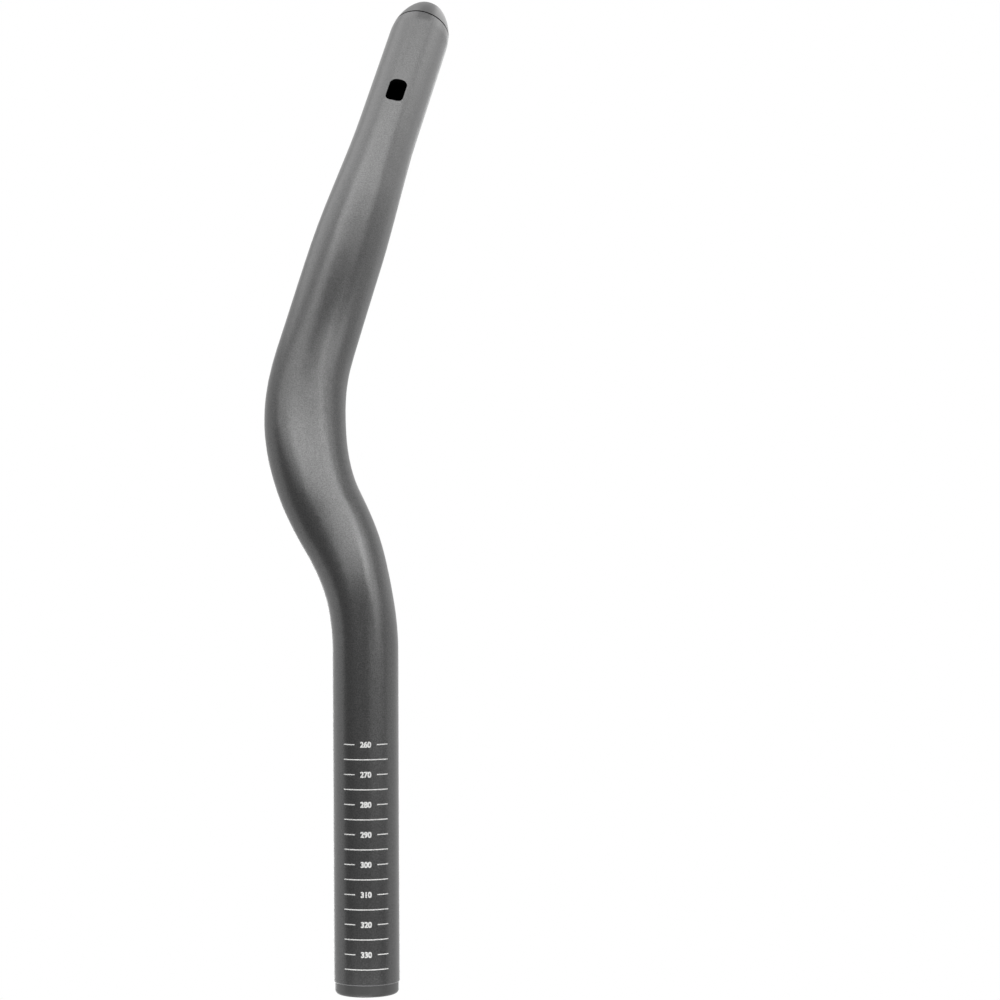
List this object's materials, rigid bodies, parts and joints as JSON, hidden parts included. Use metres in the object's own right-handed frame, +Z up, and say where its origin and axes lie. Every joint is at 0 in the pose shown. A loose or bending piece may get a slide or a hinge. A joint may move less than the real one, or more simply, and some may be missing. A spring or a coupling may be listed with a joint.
{
  "type": "aero handlebar extension",
  "caption": "Right-hand aero handlebar extension: a hollow tube with a straight round clamp tail, an S-bend with a flattened palm section and a rising tip, plugged at both ends.",
  "frame": {"origin": "on the tail's axis, at the middle of the tube's cut tail end", "axes": "+Y forward along the straight tail, +Z up, +X outboard (the rider's right)"},
  "size_m": [0.062, 0.355, 0.1396],
  "materials": {
    "tube_finish": "bead-blasted black anodised",
    "plug_plastic": "fine-textured black moulding"
  },
  "bodies": {
    "root": {"extension_tube": "tube_finish", "nose_plug": "plug_plastic", "tail_plug": "plug_plastic"}
  },
  "joints": []
}
